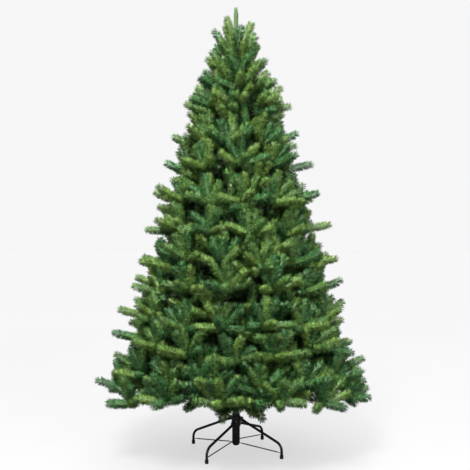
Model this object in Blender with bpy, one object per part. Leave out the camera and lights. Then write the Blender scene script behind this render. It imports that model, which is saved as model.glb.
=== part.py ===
"""An artificial fir tree, 2.1 m tall, on a folding steel stand with four bent legs.

Metres, +Z up. The floor is Z = 0, the pole stands on the Z axis, and -Y is the front.
The foliage is a set of masses that each keep to a wedge of the crown: one stem grows out of
the pole or of a bough, twigs fork from it by a seeded rule, and sprays of needles end them.
"""

import math
import random

import bmesh
import bpy
from mathutils import Vector
from mathutils.geometry import intersect_point_line

# Overall size. The crown's outline is a cone with a full lower half: its reach falls off
# from the skirt to the tip by a power of the height that is left.
TREE_HEIGHT = 2.10
SKIRT_HEIGHT = 0.27
SKIRT_REACH = 0.668
LOW_REACH = 0.630
REACH_POWER = 0.68

# Pieces that touch keep this gap between their faceted surfaces.
TOUCH_GAP = 0.0003
UP = Vector((0, 0, 1))

# Pole, in three tubes, with a branch holder at each tier of boughs
POLE_RADII = (0.0160, 0.0135, 0.0090)
POLE_JOINTS = (0.62, 1.10)
POLE_FOOT = 0.045
POLE_TIP = 1.580
HOLDER_RADIUS = 0.023
HOLDER_HEIGHT = 0.030
ROUND_SIDES = 12

# Stand: two pairs of legs, each on its own collar round the socket. root is the height of a
# collar, slope how steeply its legs fall, and brace where its rods leave the socket.
LEG_TURN = math.radians(32.2)
LEG_PAIRS = (
    {"root": 0.130, "slope": 0.30, "brace": 0.053},
    {"root": 0.156, "slope": 0.42, "brace": 0.042},
)
LEG_CIRCLE = 0.2456
LEG_RADIUS = 0.006
LEG_SIDES = 10
LEG_BEND = 0.042
LEG_BEND_STEPS = 7
SOCKET_RADIUS = 0.0182
SOCKET_WALL = 0.0019
SOCKET_FOOT = 0.037
SOCKET_TOP = 0.178
COLLAR_RADIUS = 0.0222
COLLAR_HEIGHT = 0.021
PLUG_FOOT = 0.028
PLUG_RADIUS = 0.0145
PLUG_CHAMFER = 0.005
BRACE_RADIUS = 0.0018
BRACE_SIDES = 8
BRACE_END = 0.0265
CAP_RADIUS = 0.0085
CAP_HEIGHT = 0.018
CAP_FLOOR = 0.004

# Boughs of the two lowest tiers, from the holder to where the foliage starts
BOUGH_REACH = 0.125
BOUGH_ROOT_RADIUS = 0.0080
BOUGH_TIP_RADIUS = 0.0065
BOUGH_SIDES = 6

# Wood inside a mass. The stem forks into twigs at these shares of its length.
CORE_SIDES = 3
STEM_RADIUS = 0.010
STEM_FORK_RADIUS = 0.009
STEM_SHARE = 0.55
STEM_REACH = 0.93
FORK_SHARES = (0.52, 0.74)
FORK_STAGGER = 0.04
TWIG_RADIUS = 0.0042
LEADER_RADIUS = 0.0075

# Sprays of needles. A spray at full size is this deep, and smaller near the crown's top.
SPRAY_DEPTH = 0.185
SPRAY_SHARE = 0.44
SPRAY_CORE = 0.016
NEEDLE_REACH = 0.046
END_NEEDLE_REACH = 0.039
NEEDLE_RAKE = 1.15
END_NEEDLE_RAKE = 0.62
NEEDLES_START = 0.35
SPRAY_ROLL = math.radians(30)

# Side sprays of a twig, and the sprays near the pole: where each is rooted, then the
# directions it tries in turn, as (degrees towards the mass's wall, degrees up).
SIDE_SPRAYS = (
    (0.30, ((60, 6), (48, 10), (36, 14), (60, 30), (25, 30))),
    (0.10, ((0, 62), (20, 55), (-20, 55), (0, 80))),
    (0.22, ((-60, 6), (-48, 10), (-60, 30), (-45, 40), (-35, -12))),
)
INNER_SPRAYS = (
    (0.18, ((55, 50), (35, 50), (20, 60))),
    (0.32, ((-55, 50), (-35, 50), (-20, 60), (0, 50))),
)
SIDE_SCALE = 0.92
INNER_SCALE = 0.75
SPRAY_CLEARANCE = 0.040
CROWDING_SHARES = (0.45, 0.70, 1.00)

# Each mass keeps this far inside its wedge of the crown.
WALL_GAP = 0.002
CONE_GAP = 0.004

# Tiers of boughs, from the ground up. masses is how many ring the pole, first the turn of
# the first one, hinge where the boughs leave the pole, rings the heights of the two rings of
# tips in a mass, pitch how steeply those point up, and rise the slope of the cone under it.
TIERS = (
    {"name": "low", "masses": 7, "first": 18.9, "hinge": 0.275, "rings": (0.270, 0.390),
     "pitch": (-4, 9), "rise": 0.00, "bough": True},
    {"name": "second", "masses": 7, "first": 22.6, "hinge": 0.455, "rings": (0.520, 0.650),
     "pitch": (4, 10), "rise": 0.20, "bough": True},
    {"name": "third", "masses": 6, "first": 40.0, "hinge": 0.700, "rings": (0.785, 0.915),
     "pitch": (6, 12), "rise": 0.24, "bough": False},
    {"name": "fourth", "masses": 5, "first": 49.2, "hinge": 0.965, "rings": (1.050, 1.195),
     "pitch": (8, 14), "rise": 0.30, "bough": False},
    {"name": "fifth", "masses": 4, "first": 71.8, "hinge": 1.225, "rings": (1.350, 1.490),
     "pitch": (14, 20), "rise": 0.42, "bough": False},
)
LOWEST_FLOOR = 0.165
TWIG_HEADINGS = ((-0.5, 0.5), (-0.7, 0.3))
HEADING_SPREAD = 0.04
REACH_SPREAD = 0.02

# The crown's top: a leader that grows on from the pole, with rings of tips round it. root
# is where a ring leaves the leader, tip and reach where its tips end.
CROWN_RISE = 0.40
CROWN_RINGS = (
    {"root": 1.595, "tip": 1.635, "reach": 0.245, "count": 7, "first": 10},
    {"root": 1.650, "tip": 1.745, "reach": 0.195, "count": 6, "first": 35},
    {"root": 1.710, "tip": 1.845, "reach": 0.145, "count": 5, "first": 0},
    {"root": 1.790, "tip": 1.935, "reach": 0.115, "count": 4, "first": 50},
    {"root": 1.870, "tip": 2.020, "reach": 0.080, "count": 4, "first": 5},
)
LEADER_TIP = 1.940
LEADER_NEEDLES = 1.990
CROWN_SEED = 900

BLACK_STEEL = ("black_steel", (0.018, 0.018, 0.020), 0.38)
BLACK_RUBBER = ("black_rubber", (0.012, 0.012, 0.012), 0.70)
POLE_GREEN = ("pole_green", (0.020, 0.050, 0.028), 0.45)
BOUGH_BROWN = ("bough_brown", (0.060, 0.042, 0.028), 0.75)
NEEDLE_GREEN = ("needle_green", (0.055, 0.150, 0.050), 0.60)


def clear_scene():
    for item in list(bpy.data.objects):
        bpy.data.objects.remove(item)


def material(name, colour, roughness):
    found = bpy.data.materials.get(name)
    if found:
        return found
    made = bpy.data.materials.new(name)
    made.use_nodes = True
    shader = made.node_tree.nodes["Principled BSDF"]
    shader.inputs["Base Color"].default_value = (*colour, 1.0)
    shader.inputs["Roughness"].default_value = roughness
    shader.inputs["Metallic"].default_value = 0.0
    return made


def mesh_object(name, vertices, faces, finish, collection=None):
    mesh = bpy.data.meshes.new(name)
    mesh.from_pydata([tuple(v) for v in vertices], [], faces)
    mesh.materials.append(material(*finish))
    made = bpy.data.objects.new(name, mesh)
    (collection or bpy.context.scene.collection).objects.link(made)
    return made


def shade_round(made, crease_degrees=40):
    made.data.shade_smooth()
    made.data.set_sharp_from_angle(angle=math.radians(crease_degrees))


# Places and directions round the pole

def around(turn, radius, height):
    return Vector((radius * math.cos(turn), radius * math.sin(turn), height))


def outward(turn, pitch):
    """Unit vector away from the pole at a turn about Z, pitched up."""
    return around(turn, math.cos(pitch), math.sin(pitch))


def reach_at(height):
    """How far the crown reaches from the pole at a height."""
    if height <= SKIRT_HEIGHT:
        return SKIRT_REACH
    share_left = (TREE_HEIGHT - height) / (TREE_HEIGHT - SKIRT_HEIGHT)
    return LOW_REACH * share_left ** REACH_POWER


def spray_depth(reach):
    """How deep the sprays are where the crown reaches this far."""
    return min(SPRAY_DEPTH, SPRAY_SHARE * reach)


# Round shapes

def ring_faces(rings, sides):
    """Side faces between successive rings of points that all turn the same way."""
    faces = []
    for ring in range(rings - 1):
        low, high = ring * sides, (ring + 1) * sides
        for side in range(sides):
            after = (side + 1) % sides
            faces.append((low + side, low + after, high + after, high + side))
    return faces


def turned(profile, sides, tube=False):
    """Points and faces of a profile of (radius, height) turned about Z.

    A profile runs from foot to top and is capped flat at both ends. A tube's runs up its
    outer side and down its inner side, and its last ring joins its first."""
    vertices = []
    for radius, height in profile:
        for side in range(sides):
            vertices.append(around(2 * math.pi * (side + 0.5) / sides, radius, height))
    faces = ring_faces(len(profile), sides)
    last = (len(profile) - 1) * sides
    if tube:
        for side in range(sides):
            after = (side + 1) % sides
            faces.append((last + side, last + after, after, side))
    else:
        faces.append(tuple(reversed(range(sides))))
        faces.append(tuple(range(last, last + sides)))
    return vertices, faces


def frame_across(along, last_across):
    """A level direction across along, and the upward one square to both.

    Where along is upright the level direction stays what it was."""
    across = UP.cross(along)
    if across.length < 0.05:
        across = last_across - along * last_across.dot(along)
    across.normalize()
    return across, along.cross(across)


def path_rings(path, radii, sides, roll, upright_root):
    """The ring of points round each point of a path.

    With upright_root the first ring stands upright, to meet the pole flat."""
    rings = []
    across = Vector((1, 0, 0))
    for index, (point, radius) in enumerate(zip(path, radii)):
        before = path[max(index - 1, 0)]
        after = path[min(index + 1, len(path) - 1)]
        along = (after - before).normalized()
        if upright_root and index == 0:
            along = Vector((along.x, along.y, 0)).normalized()
        across, upward = frame_across(along, across)
        ring = []
        for side in range(sides):
            turn = roll + 2 * math.pi * side / sides
            ring.append(point + radius * (math.cos(turn) * across + math.sin(turn) * upward))
        rings.append(ring)
    return rings


def limb(path, radii, sides):
    """Points and faces of a round limb along a path, flat at both ends."""
    rings = path_rings(path, radii, sides, 0.0, True)
    last = (len(path) - 1) * sides
    faces = ring_faces(len(path), sides)
    faces.append(tuple(reversed(range(sides))))
    faces.append(tuple(range(last, last + sides)))
    return [point for ring in rings for point in ring], faces


# Pole and stand

def build_pole():
    """Three tubes that step into one another, and a branch holder at each tier."""
    profile = [(POLE_RADII[0], POLE_FOOT)]
    marks = sorted(POLE_JOINTS + tuple(tier["hinge"] for tier in TIERS))
    tube = 0
    for height in marks:
        radius = POLE_RADII[tube]
        if height in POLE_JOINTS:
            tube += 1
            profile += [(radius, height), (POLE_RADII[tube], height)]
            continue
        low, high = height - HOLDER_HEIGHT / 2, height + HOLDER_HEIGHT / 2
        profile += [(radius, low), (HOLDER_RADIUS, low), (HOLDER_RADIUS, high), (radius, high)]
    profile.append((POLE_RADII[tube], POLE_TIP))
    shade_round(mesh_object("pole", *turned(profile, ROUND_SIDES), POLE_GREEN))


def build_socket():
    """The tube that holds the pole, with the collars of the two pairs of legs on it."""
    bore = SOCKET_RADIUS - SOCKET_WALL
    profile = [(SOCKET_RADIUS, SOCKET_FOOT)]
    for pair in LEG_PAIRS:
        low, high = pair["root"] - COLLAR_HEIGHT / 2, pair["root"] + COLLAR_HEIGHT / 2
        profile += [(SOCKET_RADIUS, low), (COLLAR_RADIUS, low)]
        profile += [(COLLAR_RADIUS, high), (SOCKET_RADIUS, high)]
    profile += [(SOCKET_RADIUS, SOCKET_TOP), (bore, SOCKET_TOP), (bore, SOCKET_FOOT)]
    socket = mesh_object("stand_socket", *turned(profile, ROUND_SIDES, tube=True), BLACK_STEEL)
    shade_round(socket)
    plug_profile = [
        (PLUG_RADIUS - PLUG_CHAMFER, PLUG_FOOT),
        (PLUG_RADIUS, PLUG_FOOT + PLUG_CHAMFER),
        (PLUG_RADIUS, SOCKET_FOOT),
        (bore - TOUCH_GAP, SOCKET_FOOT),
        (bore - TOUCH_GAP, POLE_FOOT - TOUCH_GAP),
    ]
    shade_round(mesh_object("socket_plug", *turned(plug_profile, ROUND_SIDES), BLACK_RUBBER))


def leg_path(turn, pair):
    """Down and out from the collar, round a bend, and straight down into its cap."""
    root = COLLAR_RADIUS + TOUCH_GAP
    fall = math.atan(pair["slope"])
    knee_height = pair["root"] - pair["slope"] * (LEG_CIRCLE - root)
    to_turn = math.pi / 2 - fall
    bend_radius = LEG_CIRCLE - LEG_BEND
    bend_height = knee_height - LEG_BEND * math.tan(to_turn / 2)
    path = [around(turn, root, pair["root"])]
    for step in range(LEG_BEND_STEPS + 1):
        angle = to_turn * (1 - step / LEG_BEND_STEPS)
        path.append(around(turn, bend_radius + LEG_BEND * math.cos(angle),
                           bend_height + LEG_BEND * math.sin(angle)))
    path.append(around(turn, LEG_CIRCLE, CAP_FLOOR + TOUCH_GAP))
    return path


def build_leg(number, turn, pair):
    path = leg_path(turn, pair)
    leg = mesh_object(f"leg_{number}", *limb(path, [LEG_RADIUS] * len(path), LEG_SIDES), BLACK_STEEL)
    bore = LEG_RADIUS + TOUCH_GAP
    cup = [(CAP_RADIUS, 0), (CAP_RADIUS, CAP_HEIGHT), (bore, CAP_HEIGHT), (bore, CAP_FLOOR)]
    cap = mesh_object(f"foot_cap_{number}", *turned(cup, LEG_SIDES), BLACK_RUBBER)
    cap.location = around(turn, LEG_CIRCLE, 0)
    cap.rotation_euler = (0, 0, turn)
    rod = [
        around(turn, SOCKET_RADIUS + TOUCH_GAP, pair["brace"]),
        around(turn, LEG_CIRCLE - LEG_RADIUS - TOUCH_GAP, BRACE_END),
    ]
    brace = mesh_object(f"brace_{number}", *limb(rod, [BRACE_RADIUS] * 2, BRACE_SIDES), BLACK_STEEL)
    for made in (leg, cap, brace):
        shade_round(made)


def build_stand():
    """Leg 1 stands front left, and each next leg a quarter turn on, seen from above."""
    build_socket()
    front_left = -math.pi / 2 - LEG_TURN
    for quarter in range(4):
        build_leg(quarter + 1, front_left + quarter * math.pi / 2, LEG_PAIRS[quarter % 2])


# Needles

def brush(path, radii, needles, roll=0.0, upright_root=False):
    """A three-sided core along a path that ends in a point, with needles standing out of it.

    radii gives the core's radius at each point but the last. A first radius of 0 starts the
    core at a point, to be sunk in the twig that carries it. needles gives, for the stretch
    after each point, how far a needle stands out of each side of it, or 0 for bare wood."""
    sides = CORE_SIDES
    rings = path_rings(path, [*radii, 0], sides, roll, upright_root)
    vertices, faces, ring_starts = [], [], []
    for ring, radius in zip(rings, [*radii, 0]):
        ring_starts.append(len(vertices))
        vertices += ring if radius else ring[:1]
    if radii[0]:
        faces.append(tuple(reversed(range(sides))))
    pointed = [not radius for radius in (*radii, 0)]
    for index, reach in enumerate(needles):
        low, high = ring_starts[index], ring_starts[index + 1]
        for side in range(sides):
            after = (side + 1) % sides
            rim = [low] if pointed[index] else [low + side, low + after]
            rim += [high] if pointed[index + 1] else [high + after, high + side]
            if not reach:
                faces.append(tuple(rim))
                continue
            tip = len(vertices)
            vertices.append(needle_tip(path, index, roll, side, reach))
            for corner, start in enumerate(rim):
                faces.append((start, rim[(corner + 1) % len(rim)], tip))
    return vertices, faces


def needle_tip(path, index, roll, side, reach):
    """Where a needle of one side of a stretch of core ends, raked forwards."""
    stretch = path[index + 1] - path[index]
    rake = END_NEEDLE_RAKE if index == len(path) - 2 else NEEDLE_RAKE
    across, upward = frame_across(stretch.normalized(), Vector((1, 0, 0)))
    turn = roll + 2 * math.pi * (side + 0.5) / CORE_SIDES
    return path[index] + stretch * rake + reach * (math.cos(turn) * across + math.sin(turn) * upward)


def side_spray(root, tip, scale):
    """A core pointed at both ends, with needles round its middle."""
    path = [root, root.lerp(tip, 0.22), root.lerp(tip, 0.60), tip]
    core = SPRAY_CORE * scale
    return brush(path, (0, core, core), (0, NEEDLE_REACH * scale, 0), SPRAY_ROLL)


def gap_between(first, second):
    """The least distance of one spray's outer part from another, each a (root, tip) pair."""
    gaps = []
    for share in CROWDING_SHARES:
        point = first[0].lerp(first[1], share)
        foot_share = intersect_point_line(point, *second)[1]
        foot = second[0].lerp(second[1], min(max(foot_share, 0), 1))
        gaps.append((point - foot).length)
    return min(gaps)


def keep_main_shell(mesh):
    """Fills hollows that fusing sealed and drops loose scraps: only the largest shell stays."""
    form = bmesh.new()
    form.from_mesh(mesh)
    unseen = set(form.faces)
    shells = []
    while unseen:
        shell = [unseen.pop()]
        for face in shell:
            beside = {other for edge in face.edges for other in edge.link_faces} & unseen
            unseen -= beside
            shell += beside
        shells.append(shell)
    shells.sort(key=len)
    for shell in shells[:-1]:
        bmesh.ops.delete(form, geom=shell, context="FACES")
    form.to_mesh(mesh)
    form.free()


class Cell:
    """The wedge of the crown that a mass keeps to, between two walls and two cones.

    A floor or roof is a (height at the pole, rise per metre) pair."""

    def __init__(self, turn, half_width, floor, roof):
        self.turn = turn
        self.half_width = half_width
        self.floor = floor
        self.roof = roof

    def holds(self, points):
        return all(self.holds_point(point) for point in points)

    def holds_point(self, point):
        radius = point.xy.length
        lowest = self.floor[0] + self.floor[1] * radius + CONE_GAP
        highest = self.roof[0] + self.roof[1] * radius - CONE_GAP
        beside_pole = point.z < POLE_TIP + WALL_GAP and radius < HOLDER_RADIUS + WALL_GAP
        if beside_pole or not lowest < point.z < highest:
            return False
        if self.half_width >= math.pi:
            return True
        ahead = point.x * math.cos(self.turn) + point.y * math.sin(self.turn)
        aside = point.y * math.cos(self.turn) - point.x * math.sin(self.turn)
        return abs(aside) < ahead * math.tan(self.half_width) - WALL_GAP / math.cos(self.half_width)


class Mass:
    """Stem, twigs and sprays of one mass, gathered and then fused into one solid."""

    def __init__(self, name, cell, stem_path, stem_shape):
        self.name = name
        self.cell = cell
        self.lines = [tuple(stem_path[-3::2])]
        self.pieces = bpy.data.collections.new(name + "_pieces")
        bpy.context.scene.collection.children.link(self.pieces)
        self.stem = mesh_object(name, *brush(stem_path, *stem_shape), NEEDLE_GREEN)

    def add(self, made, line, clearance=0.0, sunk_points=0):
        """Adds a twig or spray, unless it would leave the mass's space or crowd another."""
        vertices, faces = made
        if not self.cell.holds(vertices[sunk_points:]):
            return False
        for other in self.lines:
            if min(gap_between(line, other), gap_between(other, line)) < clearance:
                return False
        self.lines.append(line)
        mesh_object(self.name + "_piece", vertices, faces, NEEDLE_GREEN, self.pieces)
        return True

    def add_side_spray(self, root, turn, pitch, directions, scale):
        """Adds a side spray in the first of its directions that has room for it."""
        for yaw, lift in directions:
            tip = root + SPRAY_DEPTH * scale * outward(turn + math.radians(yaw), pitch + math.radians(lift))
            if self.add(side_spray(root, tip, scale), (root, tip), SPRAY_CLEARANCE * scale, 1):
                return

    def fuse(self):
        """One Boolean union joins the pieces to the stem, and is then applied."""
        union = self.stem.modifiers.new("join", "BOOLEAN")
        union.operation = "UNION"
        union.operand_type = "COLLECTION"
        union.collection = self.pieces
        union.solver = "MANIFOLD"
        graph = bpy.context.evaluated_depsgraph_get()
        joined = bpy.data.meshes.new_from_object(self.stem.evaluated_get(graph))
        self.stem.modifiers.clear()
        keep_main_shell(joined)
        self.stem.data = joined
        print(self.name, "fuses", len(self.pieces.objects) + 1, "pieces")
        for piece in list(self.pieces.objects):
            bpy.data.objects.remove(piece)
        bpy.data.collections.remove(self.pieces)


# Tiers of foliage

def tier_floors():
    """The cone under each tier and under the crown's top, as (height at the pole, rise)."""
    floors = [(LOWEST_FLOOR, 0.0)]
    lower_rings = [tier["rings"][0] for tier in TIERS[1:]] + [CROWN_RINGS[0]["tip"]]
    rises = [tier["rise"] for tier in TIERS[1:]] + [CROWN_RISE]
    for below, lower_ring, rise in zip(TIERS, lower_rings, rises):
        between = (below["rings"][1] + lower_ring) / 2
        floors.append((between - rise * reach_at(between), rise))
    return floors


def build_bough(name, holder, fork):
    """A bough from its holder to where the foliage starts, and the foliage stem's root."""
    tip = holder.lerp(fork, (BOUGH_REACH - holder.xy.length) / (fork.xy.length - holder.xy.length))
    made = limb([holder, tip], [BOUGH_ROOT_RADIUS, BOUGH_TIP_RADIUS], BOUGH_SIDES)
    shade_round(mesh_object(name, *made, BOUGH_BROWN))
    return tip + (fork - holder).normalized() * TOUCH_GAP


def add_twig(mass, pick, fork, heading, wall, tip_height, pitch):
    """A twig from the stem's fork to the crown's outline, with its last spray and side sprays.

    wall is +1 or -1 for the side of the mass that the twig lies on."""
    tip_reach = reach_at(tip_height) * (1 - pick.uniform(0, REACH_SPREAD))
    depth = spray_depth(tip_reach)
    scale = depth / SPRAY_DEPTH
    tip = around(heading, tip_reach, tip_height)
    base = tip - depth * outward(heading, pitch)
    twig = brush([fork, base, base.lerp(tip, NEEDLES_START), tip],
                 (TWIG_RADIUS, TWIG_RADIUS, SPRAY_CORE * scale),
                 (0, NEEDLE_REACH * scale, END_NEEDLE_REACH * scale), SPRAY_ROLL)
    if not mass.add(twig, (base, tip)):
        return
    inward = (fork - base).normalized()
    for back, directions in SIDE_SPRAYS:
        towards_wall = [(wall * yaw, lift) for yaw, lift in directions]
        mass.add_side_spray(base + back * depth * inward, heading, pitch, towards_wall, scale * SIDE_SCALE)


def build_tier(tier_number, floor, roof):
    tier = TIERS[tier_number]
    half_width = math.pi / tier["masses"]
    middle = sum(tier["rings"]) / 2
    reach = reach_at(middle)
    for number in range(tier["masses"]):
        pick = random.Random(100 * tier_number + number)
        turn = math.radians(tier["first"]) + 2 * half_width * number
        holder = around(turn, HOLDER_RADIUS + TOUCH_GAP, tier["hinge"])
        tip = around(turn, STEM_REACH * reach, middle)
        fork = around(turn, STEM_SHARE * reach, tier["hinge"] + STEM_SHARE * (middle - tier["hinge"]))
        root = holder
        if tier["bough"]:
            root = build_bough(f"bough_{tier['name']}_{number + 1}", holder, fork)
        stem_shape = ((STEM_RADIUS, STEM_FORK_RADIUS, SPRAY_CORE),
                      (0, NEEDLE_REACH, END_NEEDLE_REACH), math.pi / 2, not tier["bough"])
        mass = Mass(f"foliage_{tier['name']}_{number + 1}", Cell(turn, half_width, floor, roof),
                    [root, fork, fork.lerp(tip, NEEDLES_START), tip], stem_shape)
        for ring, (tip_height, pitch) in enumerate(zip(tier["rings"], tier["pitch"])):
            for wall, share in zip((-1, 1), TWIG_HEADINGS[ring]):
                heading = turn + half_width * (share + pick.uniform(-HEADING_SPREAD, HEADING_SPREAD))
                forked_at = root.lerp(fork, FORK_SHARES[ring] + wall * FORK_STAGGER)
                add_twig(mass, pick, forked_at, heading, wall, tip_height, math.radians(pitch))
        scale = INNER_SCALE * spray_depth(reach) / SPRAY_DEPTH
        for share, directions in INNER_SPRAYS:
            mass.add_side_spray(root.lerp(fork, share), turn, 0.0, directions, scale)
        mass.fuse()


def build_crown_top(floor):
    """The leader grows on from the pole's end, with rings of upright tips round it."""
    pick = random.Random(CROWN_SEED)
    heights = (POLE_TIP + TOUCH_GAP, LEADER_TIP, LEADER_NEEDLES, TREE_HEIGHT)
    leader_shape = ((LEADER_RADIUS, TWIG_RADIUS, SPRAY_CORE * 0.8),
                    (0, NEEDLE_REACH * 0.7, END_NEEDLE_REACH * 0.6))
    mass = Mass("foliage_top", Cell(0, math.pi, floor, (math.inf, 0)),
                [height * UP for height in heights], leader_shape)
    for ring in CROWN_RINGS:
        for number in range(ring["count"]):
            heading = math.radians(ring["first"]) + 2 * math.pi * number / ring["count"]
            tip = around(heading, ring["reach"], ring["tip"])
            fork = ring["root"] * UP
            path = [fork, fork.lerp(tip, 0.35), fork.lerp(tip, 0.62), tip]
            made = brush(path, (TWIG_RADIUS, TWIG_RADIUS, SPRAY_CORE),
                         (0, NEEDLE_REACH, END_NEEDLE_REACH), pick.uniform(0, math.pi))
            mass.add(made, (path[1], tip), 0.0, CORE_SIDES)
    mass.fuse()


def main():
    clear_scene()
    build_pole()
    build_stand()
    floors = tier_floors()
    for tier_number in range(len(TIERS)):
        build_tier(tier_number, floors[tier_number], floors[tier_number + 1])
    build_crown_top(floors[-1])


main()
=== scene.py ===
# %% [markdown]
# An artificial fir tree on a folding steel stand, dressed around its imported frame.
# The frame fixes every size and place. This script only gives each part its real surface:
# twisted wire boughs, bottle-brush tips with film needles, and a powder-coated stand.

# %% Load the frame
import math
import random

import bpy
import numpy as np
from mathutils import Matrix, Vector


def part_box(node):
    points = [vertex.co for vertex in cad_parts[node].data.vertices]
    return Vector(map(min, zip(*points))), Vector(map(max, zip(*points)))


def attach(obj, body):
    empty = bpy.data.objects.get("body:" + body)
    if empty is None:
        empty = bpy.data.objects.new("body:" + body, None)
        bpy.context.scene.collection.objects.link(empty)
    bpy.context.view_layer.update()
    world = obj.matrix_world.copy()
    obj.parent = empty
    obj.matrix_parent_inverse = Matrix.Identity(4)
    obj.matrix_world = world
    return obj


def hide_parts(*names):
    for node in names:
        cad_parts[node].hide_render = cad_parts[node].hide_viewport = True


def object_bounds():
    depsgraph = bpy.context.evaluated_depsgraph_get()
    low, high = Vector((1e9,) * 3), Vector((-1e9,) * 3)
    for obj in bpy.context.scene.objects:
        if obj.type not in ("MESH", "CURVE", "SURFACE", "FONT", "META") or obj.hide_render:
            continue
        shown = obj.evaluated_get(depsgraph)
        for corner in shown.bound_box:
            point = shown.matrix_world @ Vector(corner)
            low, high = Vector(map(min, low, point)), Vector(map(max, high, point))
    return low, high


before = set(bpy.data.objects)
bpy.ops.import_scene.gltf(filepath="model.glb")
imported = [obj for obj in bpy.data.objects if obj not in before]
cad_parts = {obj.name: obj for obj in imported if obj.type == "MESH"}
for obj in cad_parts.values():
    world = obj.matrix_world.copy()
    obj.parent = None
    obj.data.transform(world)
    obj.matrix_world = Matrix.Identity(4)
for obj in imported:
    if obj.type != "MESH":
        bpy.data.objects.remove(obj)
cad_low, cad_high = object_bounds()
print("frame", [round(side, 3) for side in cad_high - cad_low], len(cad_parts), "nodes")

# %% [markdown]
# The camera stands where the photographer stood: level, 3.7 m in front of the pole and about
# a metre up. A lens is measured on a picture in pixels, and Blender wants it in millimetres.

# %% Camera
PICTURE_SIDE_PX = 470
FOCAL_PX = 783
CAMERA_PLACE = (-0.0047, -3.70, 1.02)


def add_object(name, data):
    """An object of the scene that shows a mesh, lamp or camera."""
    made = bpy.data.objects.new(name, data)
    bpy.context.scene.collection.objects.link(made)
    return made


camera_data = bpy.data.cameras.new("photo_camera")
camera_data.sensor_width = 36
camera_data.lens = FOCAL_PX / PICTURE_SIDE_PX * camera_data.sensor_width
camera = add_object("photo_camera", camera_data)
camera.location = CAMERA_PLACE
camera.rotation_euler = (math.pi / 2, 0, 0)
bpy.context.scene.camera = camera
bpy.context.scene.view_settings.view_transform = "Standard"
print("lens", round(camera_data.lens, 1), "mm")

# %% [markdown]
# Node helpers. A material is a tree of nodes, and most of the typing goes into placing nodes
# and linking them. With these few functions each material below reads as a recipe: an input
# is given a number or a colour, or else the node or output that it takes its value from.

# %% Node helpers


def feed(tree, socket, value):
    """Sets an input, or links it to an output or to the first output of a node."""
    if isinstance(value, bpy.types.Node):
        value = next(output for output in value.outputs if output.enabled)
    if isinstance(value, bpy.types.NodeSocket):
        tree.links.new(value, socket)
    else:
        socket.default_value = value


def fill(tree, made, **named):
    """Fills a node's inputs by name. Any other name is one of its options."""
    for name, value in named.items():
        socket = name.replace("_", " ")
        if socket in made.inputs:
            feed(tree, made.inputs[socket], value)
        else:
            setattr(made, name, value)


def node(tree, kind, *ordered, **named):
    """Adds a node, and fills its inputs by name and then in order."""
    made = tree.nodes.new("ShaderNode" + kind)
    fill(tree, made, **named)
    for socket, value in zip(made.inputs, ordered):
        feed(tree, socket, value)
    return made


def maths(tree, operation, *ordered, **named):
    return node(tree, "Math", *ordered, operation=operation, **named)


def blend(tree, share, first, second):
    """A colour between two others."""
    return node(tree, "Mix", data_type="RGBA", clamp_factor=True, Factor=share, A=first, B=second)


def object_noise(tree, scale, detail):
    """Noise that is fixed to the object."""
    place = node(tree, "TexCoord").outputs["Object"]
    return node(tree, "TexNoise", Vector=place, Scale=scale, Detail=detail)


def new_group(name, takes, gives):
    """A shader node group. takes lists (socket, kind, default) and gives (socket, kind)."""
    group = bpy.data.node_groups.new(name, "ShaderNodeTree")
    for socket, kind, default in takes:
        made = group.interface.new_socket(socket, in_out="INPUT", socket_type="NodeSocket" + kind)
        made.default_value = default
    for socket, kind in gives:
        group.interface.new_socket(socket, in_out="OUTPUT", socket_type="NodeSocket" + kind)
    return group, group.nodes.new("NodeGroupInput").outputs, group.nodes.new("NodeGroupOutput")


def new_material(name, **sockets):
    """A material with its Principled shader. What is alike all over goes on its sockets."""
    made = bpy.data.materials.new(name)
    made.use_nodes = True
    shader = made.node_tree.nodes["Principled BSDF"]
    fill(made.node_tree, shader, **sockets)
    return made, made.node_tree, shader


print("node helpers ready")

# %% [markdown]
# The studio is white all round, so most of the light is soft. The light of the sky is weak at
# the horizon and strong overhead, where the real studio has its large ceiling box, so that the
# tips get dark gaps between them. The wall behind the tree is lit apart from it, as in a real
# studio, so the sky that is seen has a tone of its own. A large lamp over the front left gives
# the needles their glints, a weaker one opens the shadows, and a third lights the back.

# %% World and lamps
HORIZON_LIGHT = (0.36, 0.36, 0.37, 1)
ZENITH_LIGHT = (1.45, 1.45, 1.45, 1)
WALL_TONE = (0.925, 0.925, 0.930, 1)
LAMP_AIM = Vector((0, 0, 1.0))

world = bpy.data.worlds.new("studio_sky")
bpy.context.scene.world = world
world.use_nodes = True
sky = world.node_tree
heading = node(sky, "SeparateXYZ", node(sky, "TexCoord").outputs["Generated"])
light_of_sky = sky.nodes["Background"]
fill(sky, light_of_sky, Color=blend(sky, heading.outputs["Z"], HORIZON_LIGHT, ZENITH_LIGHT))
wall_seen = node(sky, "Background", Color=WALL_TONE)
seen = node(sky, "LightPath").outputs["Is Camera Ray"]
fill(sky, sky.nodes["World Output"], Surface=node(sky, "MixShader", seen, light_of_sky, wall_seen))


def add_softbox(name, place, size, power):
    """A square area lamp that is turned to the middle of the tree."""
    lamp_data = bpy.data.lights.new(name, "AREA")
    lamp_data.shape = "SQUARE"
    lamp_data.size = size
    lamp_data.energy = power
    lamp = add_object(name, lamp_data)
    lamp.location = place
    lamp.rotation_euler = (LAMP_AIM - Vector(place)).to_track_quat("-Z", "Y").to_euler()


add_softbox("key_softbox", (-0.8, -3.3, 3.6), 1.3, 320)
add_softbox("fill_softbox", (1.5, -3.6, 1.7), 1.8, 78)
add_softbox("back_softbox", (1.0, 3.6, 3.2), 2.0, 45)
print("lamps", len(bpy.data.lights))

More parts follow.
